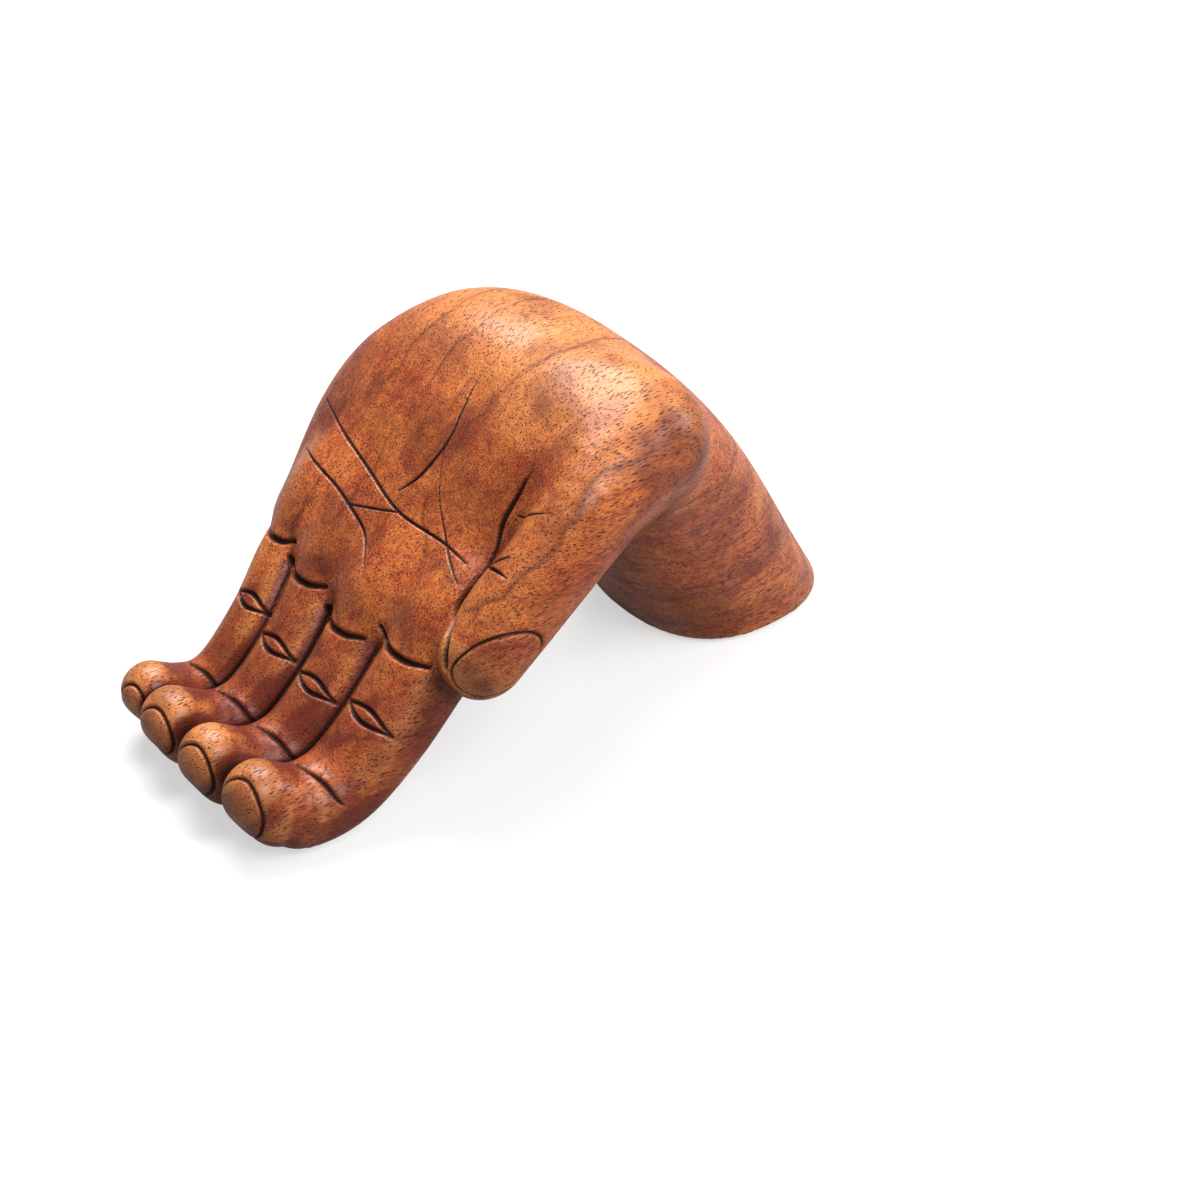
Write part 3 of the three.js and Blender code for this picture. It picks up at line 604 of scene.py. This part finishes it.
# Settings are the node's own, i0, i1 and so on are its inputs by number, and other names are its inputs by name.
def addNode(tree, kind, settings=None, **inputs):
    node = tree.nodes.new(kind)
    for key, value in (settings or {}).items():
        setattr(node, key, value)
    for key, value in inputs.items():
        numbered = key[0] == "i" and key[1:].isdigit()
        socket = node.inputs[int(key[1:]) if numbered else key.replace("_", " ")]
        if isinstance(value, bpy.types.NodeSocket):
            tree.links.new(value, socket)
        else:
            socket.default_value = value
    return node


def hexColour(text):
    parts = [int(text[n:n + 2], 16) / 255 for n in (1, 3, 5)]
    return (*[c / 12.92 if c <= 0.04045 else ((c + 0.055) / 1.055) ** 2.4 for c in parts], 1)


# Gouge cuts: the wood gives way along the lines, as deep and wide as each gouge

def makeGougeTree():
    tree = bpy.data.node_groups.new("gougeCuts", "GeometryNodeTree")
    for name, kind in (("Geometry", "Geometry"), ("Lines", "Object"), ("Width Scale", "Float"),
                       ("Depth Scale", "Float"), ("Wood", "Material")):
        tree.interface.new_socket(name, in_out="INPUT", socket_type="NodeSocket" + kind)
    tree.interface.new_socket("Geometry", in_out="OUTPUT", socket_type="NodeSocketGeometry")
    given = tree.nodes.new("NodeGroupInput").outputs
    lineGeometry = addNode(tree, "GeometryNodeObjectInfo", i0=given["Lines"]).outputs["Geometry"]
    place = addNode(tree, "GeometryNodeInputPosition").outputs[0]
    nearest = addNode(tree, "GeometryNodeSampleNearest", {"domain": "POINT"},
                      i0=lineGeometry, i1=place).outputs[0]
    gap = addNode(tree, "GeometryNodeProximity", {"target_element": "EDGES"}, i0=lineGeometry).outputs["Distance"]
    sampled = {}
    for name in ("halfWidth", "depth", "push"):
        value = addNode(tree, "GeometryNodeInputNamedAttribute", {"data_type": "FLOAT"}, Name=name).outputs[0]
        sampled[name] = addNode(tree, "GeometryNodeSampleIndex", {"data_type": "FLOAT", "domain": "POINT"},
                                i0=lineGeometry, i1=value, i2=nearest).outputs[0]
    times = {"operation": "MULTIPLY"}
    width = addNode(tree, "ShaderNodeMath", times, i0=sampled["halfWidth"], i1=given["Width Scale"]).outputs[0]
    depth = addNode(tree, "ShaderNodeMath", times, i0=sampled["depth"], i1=given["Depth Scale"]).outputs[0]
    share = addNode(tree, "ShaderNodeMath", {"operation": "DIVIDE"}, i0=gap, i1=width).outputs[0]
    # a rounded V, full depth near the line and nothing a little past the gouge's half width
    section = addNode(tree, "ShaderNodeMapRange", {"interpolation_type": "SMOOTHSTEP"},
                      i0=share, i1=1.15, i2=-0.35, i3=0.0, i4=1.24).outputs[0]
    profile = addNode(tree, "ShaderNodeMath", {"operation": "MINIMUM"}, i0=section, i1=1.0).outputs[0]
    sink = addNode(tree, "ShaderNodeMath", times, i0=profile, i1=depth).outputs[0]
    downwards = addNode(tree, "ShaderNodeMath", times, i0=sink, i1=-1.0).outputs[0]
    shown = addNode(tree, "ShaderNodeMath", times, i0=profile, i1=sampled["push"]).outputs[0]
    normal = addNode(tree, "GeometryNodeInputNormal").outputs[0]
    offset = addNode(tree, "ShaderNodeVectorMath", {"operation": "SCALE"}, i0=normal, Scale=downwards).outputs[0]
    marked = addNode(tree, "GeometryNodeStoreNamedAttribute", {"data_type": "FLOAT", "domain": "POINT"},
                     Geometry=given["Geometry"], Name="gouged", Value=shown).outputs[0]
    cut = addNode(tree, "GeometryNodeSetPosition", i0=marked, Offset=offset).outputs[0]
    whole = addNode(tree, "GeometryNodeRealizeInstances", i0=cut).outputs[0]
    done = addNode(tree, "GeometryNodeSetMaterial", i0=whole, Material=given["Wood"]).outputs[0]
    tree.links.new(done, tree.nodes.new("NodeGroupOutput").inputs[0])
    return tree


def applyTree(target, tree, name, values):
    modifier = target.modifiers.new(name, "NODES")
    modifier.node_group = tree
    for socket in tree.interface.items_tree:
        if socket.in_out == "INPUT" and socket.name in values:
            modifier[socket.identifier] = values[socket.name]
    bpy.context.view_layer.update()
    evaluated = target.evaluated_get(bpy.context.evaluated_depsgraph_get())
    mesh = bpy.data.meshes.new_from_object(evaluated)
    target.modifiers.remove(modifier)
    target.data = mesh


# Varnished raintree: a coarse hardwood with open pores, stained, varnished and rubbed by hand
# The eye gets orange-brown wood with dark dots where its vessels are cut across and short dashes where they
# lie along the surface, thin dark growth lines, painted shade in every hollow and under the arch, a painted
# highlight on the heel's top, and the soft sheen of old varnish.
woodLook = {
    # the stain colour also paints the shade in recesses and under the arch, the worn colour also the highlight on the
    # heel's top, and the deep colour the shade in the cuts and in the deepest recesses
    "honey": "#DC7E3C", "body": "#923217", "ring": "#4C160B", "stainAndShade": "#661F10", "wornAndHighlight": "#ECAA66",
    "deep": "#220B06", "pore": "#32100A",
    # growth lines: their middle at x and z (the fibres run along y), how far out each lies and how dark it is,
    # how it darkens inwards of that and ends past it, and how far they wander, over what width and length
    "pith": (20, 75), "ringReach": 80.0,
    "rings": [(11, 0.3), (19.5, 1), (29, 0.4), (39, 0.9), (45, 0.35), (51, 1), (60, 0.45), (68, 0.8)],
    "ringEdge": ((-1.3, 0.12), (0.0, 1.0), (0.3, 0.0)),
    "drift": (7, 7.6, 24.0),
    # pores: spacing and length, where a dot ends and the wood begins as a share of the spacing, and how much
    # of it shows. Real vessels are about 0.25 mm wide. The larger ones here are near 0.4 mm, so that they show.
    "pores": [(0.58, 3.0, 0.22, 0.38, 1.0), (0.42, 2.4, 0.16, 0.42, 0.9)],
    # width and length of each pattern, then its detail and roughness. Real streaks are as fine as the fibres,
    # which are too fine to show, so they are drawn 0.4 mm wide.
    "patterns": {
        "streak": (0.4, 2.4, 2.0, 0.6), "longStreak": (1.6, 26.0, 3.0, 0.55), "band": (9.0, 160.0, 2.0, 0.5),
        "blotch": (24.0, 36.0, 2.0, 0.45), "smallBlotch": (9.0, 14.4, 2.0, 0.5),
        "ringFade": (11.0, 30.0, 2.0, 0.5), "facets": (11.0, 14.0, 1.0, 0.4),
    },
    # stain and painted shade: from and to on a pattern or mark, and how much of it took there. The blotches take
    # stain, and the recess and arch marks take painted shade.
    "stainsAndShade": [("blotch", 0.51, 0.56, 0.38), ("smallBlotch", 0.5, 0.64, 0.34), ("recessShade", 0.3, 0.8, 0.55),
               ("archShade", 0.15, 0.7, 0.75)],
    "roughness": 0.38, "specular": 0.3, "coat": 0.18, "coatRoughness": 0.22, "ior": 1.5,
    "facetDepth": 1.2, "streakDepth": 0.12, "poreDepth": 0.18,
}


def makeWood(p):
    material = bpy.data.materials.new("varnishedRaintree")
    material.use_nodes = True
    tree = material.node_tree
    tree.nodes.clear()
    plus, times, power = {"operation": "ADD"}, {"operation": "MULTIPLY"}, {"operation": "POWER"}
    smooth = {"interpolation_type": "SMOOTHSTEP"}

    # the hand's own millimetres, stretched along the fibres for each pattern
    place = addNode(tree, "ShaderNodeTexCoord").outputs["Object"]
    grain = addNode(tree, "ShaderNodeMapping", Vector=place, Location=tuple(-handOrigin),
                    Scale=(1 / mm, 1 / mm, 1 / mm)).outputs[0]
    marks = {}
    for name, (width, length, detail, roughness) in p["patterns"].items():
        at = addNode(tree, "ShaderNodeMapping", Vector=grain, Scale=(1 / width, 1 / length, 1 / width)).outputs[0]
        marks[name] = addNode(tree, "ShaderNodeTexNoise", Vector=at, Scale=1.0, Detail=detail,
                              Roughness=roughness).outputs["Fac"]
    for name in ("recessShade", "gouged", "nailPlate", "archShade", "wornAndLitTop", "handled"):
        marks[name] = addNode(tree, "ShaderNodeAttribute", {"attribute_name": name}).outputs["Fac"]

    # growth lines: rounded squares about the pith, which wander a little
    reach, width, length = p["drift"]
    at = addNode(tree, "ShaderNodeMapping", Vector=grain, Scale=(1 / width, 1 / length, 1 / width)).outputs[0]
    drift = addNode(tree, "ShaderNodeTexNoise", Vector=at, Scale=1.0, Detail=1.5).outputs["Color"]
    drifted = addNode(tree, "ShaderNodeVectorMath", {"operation": "MULTIPLY_ADD"},
                      i0=drift, i1=(reach, 0, reach), i2=grain).outputs[0]
    middle = (p["pith"][0] + reach / 2, 0, p["pith"][1] + reach / 2)
    offset = addNode(tree, "ShaderNodeVectorMath", {"operation": "SUBTRACT"}, i0=drifted, i1=middle).outputs[0]
    offset = addNode(tree, "ShaderNodeVectorMath", {"operation": "ABSOLUTE"}, i0=offset).outputs[0]
    sides = addNode(tree, "ShaderNodeSeparateXYZ", i0=offset).outputs
    fourths = [addNode(tree, "ShaderNodeMath", power, i0=sides[n], i1=4.0).outputs[0] for n in (0, 2)]
    fourths = addNode(tree, "ShaderNodeMath", plus, i0=fourths[0], i1=fourths[1]).outputs[0]
    outwards = addNode(tree, "ShaderNodeMath", power, i0=fourths, i1=0.25).outputs[0]
    outwards = addNode(tree, "ShaderNodeMath", {"operation": "DIVIDE"}, i0=outwards, i1=p["ringReach"]).outputs[0]
    rings = addNode(tree, "ShaderNodeValToRGB", i0=outwards)
    stops = rings.color_ramp.elements
    stops[0].color, stops[1].color = (0, 0, 0, 1), (0, 0, 0, 1)
    for at, dark in p["rings"]:
        for past, share in p["ringEdge"]:
            stop = stops.new((at + past) / p["ringReach"])
            stop.color = (dark * share, dark * share, dark * share, 1)
    faded = addNode(tree, "ShaderNodeMapRange", smooth,
                    i0=marks["ringFade"], i1=0.3, i2=0.6, i3=0.35, i4=1.0).outputs[0]
    ringDark = addNode(tree, "ShaderNodeMath", times, i0=rings.outputs[0], i1=faded).outputs[0]

    # pores: long thin vessels along the fibre, each of its own width and a little wider in a growth line
    wider = addNode(tree, "ShaderNodeMath", {"operation": "MULTIPLY_ADD"}, i0=ringDark, i1=0.2, i2=0.95).outputs[0]
    pore = 0.0
    for spacing, length, dotEnds, woodBegins, shown in p["pores"]:
        at = addNode(tree, "ShaderNodeMapping", Vector=grain, Scale=(1 / spacing, 1 / length, 1 / spacing)).outputs[0]
        vessel = addNode(tree, "ShaderNodeTexVoronoi", {"feature": "F1"}, Vector=at, Scale=1.0).outputs
        chance = addNode(tree, "ShaderNodeSeparateXYZ", i0=vessel["Color"]).outputs[0]
        size = addNode(tree, "ShaderNodeMapRange", smooth, i0=chance, i1=0.1, i2=0.8, i3=0.45, i4=1.0).outputs[0]
        size = addNode(tree, "ShaderNodeMath", times, i0=size, i1=wider).outputs[0]
        gap = addNode(tree, "ShaderNodeMath", {"operation": "DIVIDE"}, i0=vessel["Distance"], i1=size).outputs[0]
        dot = addNode(tree, "ShaderNodeMapRange", smooth,
                      i0=gap, i1=dotEnds, i2=woodBegins, i3=shown, i4=0.0).outputs[0]
        pore = addNode(tree, "ShaderNodeMath", {"operation": "MAXIMUM"}, i0=pore, i1=dot).outputs[0]

    # how far the wood goes from honey to brown, where the stain took and where shade is painted in recesses and under
    # the arch, and the near-black in the gouge cuts, stain held there and painted shade, and in the deepest recesses,
    # painted shade
    broad = addNode(tree, "ShaderNodeMath", plus, i0=marks["longStreak"], i1=marks["band"]).outputs[0]
    broad = addNode(tree, "ShaderNodeMapRange", smooth, i0=broad, i1=0.72, i2=1.28, i3=0.06, i4=0.56).outputs[0]
    narrow = addNode(tree, "ShaderNodeMapRange", smooth, i0=marks["streak"], i1=0.4, i2=0.6, i4=0.5).outputs[0]
    tone = addNode(tree, "ShaderNodeMath", plus, i0=broad, i1=narrow).outputs[0]
    touched = addNode(tree, "ShaderNodeMath", {"operation": "MULTIPLY_ADD"},
                      i0=marks["smallBlotch"], i1=0.65, i2=0.12).outputs[0]
    stainedAndShaded = addNode(tree, "ShaderNodeMath", times, i0=marks["handled"], i1=touched).outputs[0]
    # the stain colour goes on the blotches as stain, and on the recesses and the arch's underside as painted shade
    for name, low, high, amount in p["stainsAndShade"]:
        took = addNode(tree, "ShaderNodeMapRange", smooth, i0=marks[name], i1=low, i2=high, i4=amount).outputs[0]
        stainedAndShaded = addNode(tree, "ShaderNodeMath", plus, i0=stainedAndShaded, i1=took).outputs[0]
    stainedAndShaded = addNode(tree, "ShaderNodeClamp", i0=stainedAndShaded).outputs[0]
    # near-black: in the gouge cuts partly stain held there and partly painted shade, in the deepest recesses painted
    # shade
    cut = addNode(tree, "ShaderNodeMapRange", smooth, i0=marks["gouged"], i1=0.05, i2=0.62, i4=0.96).outputs[0]
    deepShade = addNode(tree, "ShaderNodeMapRange", smooth, i0=marks["recessShade"], i1=0.6, i2=0.92, i4=0.85).outputs[0]
    dark = addNode(tree, "ShaderNodeMath", {"operation": "ADD", "use_clamp": True}, i0=cut, i1=deepShade).outputs[0]
    colour = hexColour(p["honey"])
    # the worn colour lightens the worn crowns and paints the highlight on the heel's top
    for share, most, name in ((tone, 1.0, "body"), (marks["wornAndLitTop"], 0.42, "wornAndHighlight"), (ringDark, 0.7, "ring"),
                              (stainedAndShaded, 0.9, "stainAndShade"), (marks["nailPlate"], 0.25, "stainAndShade"), (pore, 0.9, "pore"),
                              (dark, 1.0, "deep")):
        share = addNode(tree, "ShaderNodeMath", times, i0=share, i1=most).outputs[0]
        colour = addNode(tree, "ShaderNodeMix", {"data_type": "RGBA"},
                         i0=share, i6=colour, i7=hexColour(p[name])).outputs[2]

    # the varnish is duller in pores and cuts, and the gouge's broad facets show under it
    dull = addNode(tree, "ShaderNodeMath", times, i0=dark, i1=0.6).outputs[0]
    dullPore = addNode(tree, "ShaderNodeMath", times, i0=pore, i1=0.25).outputs[0]
    dull = addNode(tree, "ShaderNodeMath", {"operation": "MAXIMUM"}, i0=dull, i1=dullPore).outputs[0]
    patchy = addNode(tree, "ShaderNodeMapRange", smooth, i0=marks["smallBlotch"], i1=0.3, i2=0.7,
                     i3=p["roughness"] - 0.04, i4=p["roughness"] + 0.06).outputs[0]
    rough = addNode(tree, "ShaderNodeMath", plus, i0=dull, i1=patchy).outputs[0]
    bump = addNode(tree, "ShaderNodeBump", Strength=0.6, Distance=p["facetDepth"] * mm,
                   Height=marks["facets"]).outputs[0]
    bump = addNode(tree, "ShaderNodeBump", Strength=0.5, Distance=p["streakDepth"] * mm, Height=marks["streak"],
                   Normal=bump).outputs[0]
    bump = addNode(tree, "ShaderNodeBump", {"invert": True}, Strength=0.8, Distance=p["poreDepth"] * mm, Height=pore,
                   Normal=bump).outputs[0]
    shader = addNode(tree, "ShaderNodeBsdfPrincipled", Base_Color=colour, Roughness=rough, IOR=p["ior"], Normal=bump,
                     Specular_IOR_Level=p["specular"], Coat_Weight=p["coat"], Coat_Roughness=p["coatRoughness"],
                     Coat_IOR=p["ior"])
    addNode(tree, "ShaderNodeOutputMaterial", Surface=shader.outputs[0])
    return material


wood = makeWood(woodLook)
lineObject = makeLineObject()
applyTree(woodObject, makeGougeTree(), "gougeCuts",
          {"Lines": lineObject, "Width Scale": 1.0, "Depth Scale": 1.0, "Wood": wood})
for polygon in woodObject.data.polygons:
    polygon.use_smooth = True
bpy.data.objects.remove(lineObject)
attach(woodObject, "root")
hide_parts("carved_hand")
print("carving gouged:", len(woodObject.data.polygons), "triangles")


# Felt dots: pressed wool felt, which gives the eye a dark brown, matt and slightly fuzzy disc

feltLook = {
    "dark": "#2C231E", "light": "#4A3C33", "roughness": 0.95, "sheen": 0.4,
    "fibresPerMetre": 2600.0, "fibreDepth": 0.2,     # real fibres are about 0.02 mm: drawn 0.4 mm, to show
}


def makeFelt(p):
    material = bpy.data.materials.new("woolFelt")
    material.use_nodes = True
    tree = material.node_tree
    shader = tree.nodes["Principled BSDF"]
    place = addNode(tree, "ShaderNodeTexCoord").outputs["Object"]
    fibres = addNode(tree, "ShaderNodeTexNoise", Vector=place, Scale=p["fibresPerMetre"], Detail=3.0).outputs["Fac"]
    shade = addNode(tree, "ShaderNodeMapRange", i0=fibres, i1=0.3, i2=0.7).outputs[0]
    colour = addNode(tree, "ShaderNodeMix", {"data_type": "RGBA"},
                     i0=shade, i6=hexColour(p["dark"]), i7=hexColour(p["light"])).outputs[2]
    bump = addNode(tree, "ShaderNodeBump", Strength=0.6, Distance=p["fibreDepth"] * mm, Height=fibres).outputs[0]
    tree.links.new(colour, shader.inputs["Base Color"])
    tree.links.new(bump, shader.inputs["Normal"])
    shader.inputs["Roughness"].default_value = p["roughness"]
    shader.inputs["Sheen Weight"].default_value = p["sheen"]
    return material


felt = makeFelt(feltLook)
for name in ("foot_felt_1", "foot_felt_2", "foot_felt_3", "index_finger_felt", "little_finger_felt"):
    for slot in bpy.data.objects[name].material_slots:
        slot.material = felt
print("felt dots dressed")


# Pale matt table, soft light

studio = {
    "tableReach": 6.0, "tableDiffuse": 0.46, "tableGlow": 0.57, "glowFrom": 0.25, "glowTo": 1.2,
    "tableToOthers": 0.22,          # the plain grey that lights the carving from below
    "roomSeen": 1.0, "roomLight": 0.2, "glossSeen": 0.2, "aim": (0, 72.7, 40),
    # metres to the right in the picture, away from the camera, and up
    "key": {"from": (-0.05, 0.5, 0.95), "size": 0.8, "power": 19.5},
    "fill": {"from": (0.5, -0.6, 0.9), "size": 0.7, "power": 10.0},
    "rim": {"from": (1.0, 0.15, 0.45), "size": 0.5, "power": 5.0},
}


# Table and room are white to the eye and through glass, and a fifth as white in the varnish.
def seenDirectly(tree, glossSeen):
    path = addNode(tree, "ShaderNodeLightPath").outputs
    straight = addNode(tree, "ShaderNodeMath", {"operation": "MAXIMUM"}, i0=path["Is Camera Ray"],
                       i1=path["Is Transmission Ray"]).outputs[0]
    mirrored = addNode(tree, "ShaderNodeMath", {"operation": "MULTIPLY"}, i0=path["Is Glossy Ray"],
                       i1=glossSeen).outputs[0]
    return addNode(tree, "ShaderNodeMath", {"operation": "MAXIMUM"}, i0=straight, i1=mirrored).outputs[0]


# A board painted matt, which the eye gets as white all over but for the carving's shadow
def makeTable(p):
    mesh = bpy.data.meshes.new("tableTop")
    far = p["tableReach"]
    mesh.from_pydata([(-far, -far, 0), (far, -far, 0), (far, far, 0), (-far, far, 0)], [], [(0, 1, 2, 3)])
    floor = bpy.data.objects.new("tableTop", mesh)
    scene.collection.objects.link(floor)
    material = bpy.data.materials.new("paleTable")
    material.use_nodes = True
    tree = material.node_tree
    tree.nodes.clear()
    plain = addNode(tree, "ShaderNodeBsdfDiffuse", Color=(p["tableToOthers"],) * 3 + (1,)).outputs[0]
    lit = addNode(tree, "ShaderNodeBsdfDiffuse", Color=(p["tableDiffuse"],) * 3 + (1,)).outputs[0]
    # past the lamps' reach the table glows by itself, so it stays pale to the horizon
    place = addNode(tree, "ShaderNodeTexCoord").outputs["Object"]
    away = addNode(tree, "ShaderNodeVectorMath", {"operation": "LENGTH"}, i0=place).outputs["Value"]
    strength = addNode(tree, "ShaderNodeMapRange", i0=away, i1=p["glowFrom"], i2=p["glowTo"],
                       i3=p["tableGlow"], i4=1.0).outputs[0]
    glow = addNode(tree, "ShaderNodeEmission", Color=(1, 1, 1, 1), Strength=strength).outputs[0]
    white = addNode(tree, "ShaderNodeAddShader", i0=lit, i1=glow).outputs[0]
    both = addNode(tree, "ShaderNodeMixShader", i0=seenDirectly(tree, p["glossSeen"]), i1=plain, i2=white).outputs[0]
    addNode(tree, "ShaderNodeOutputMaterial", Surface=both)
    mesh.materials.append(material)


def makeRoom(p):
    world = bpy.data.worlds.new("whiteRoom")
    world.use_nodes = True
    tree = world.node_tree
    tree.nodes.clear()
    strength = addNode(tree, "ShaderNodeMapRange", i0=seenDirectly(tree, p["glossSeen"]),
                       i3=p["roomLight"], i4=p["roomSeen"]).outputs[0]
    light = addNode(tree, "ShaderNodeBackground", Color=(1, 1, 1, 1), Strength=strength).outputs[0]
    addNode(tree, "ShaderNodeOutputWorld", Surface=light)
    scene.world = world


def makeLamps(p):
    middle = Vector(toFrame(p["aim"]))
    right = camera.matrix_world.to_3x3() @ Vector((1, 0, 0))
    right = Vector((right.x, right.y, 0)).normalized()
    back = Vector((-right.y, right.x, 0))
    for name in ("key", "fill", "rim"):
        lamp = p[name]
        data = bpy.data.lights.new(name, "AREA")
        data.shape = "SQUARE"
        data.size = lamp["size"]
        data.energy = lamp["power"]
        light = bpy.data.objects.new(name, data)
        light.location = middle + right * lamp["from"][0] + back * lamp["from"][1] + Vector((0, 0, lamp["from"][2]))
        light.rotation_euler = (middle - light.location).to_track_quat("-Z", "Y").to_euler()
        scene.collection.objects.link(light)


makeTable(studio)
makeRoom(studio)
makeLamps(studio)
print("table, room and lamps set")
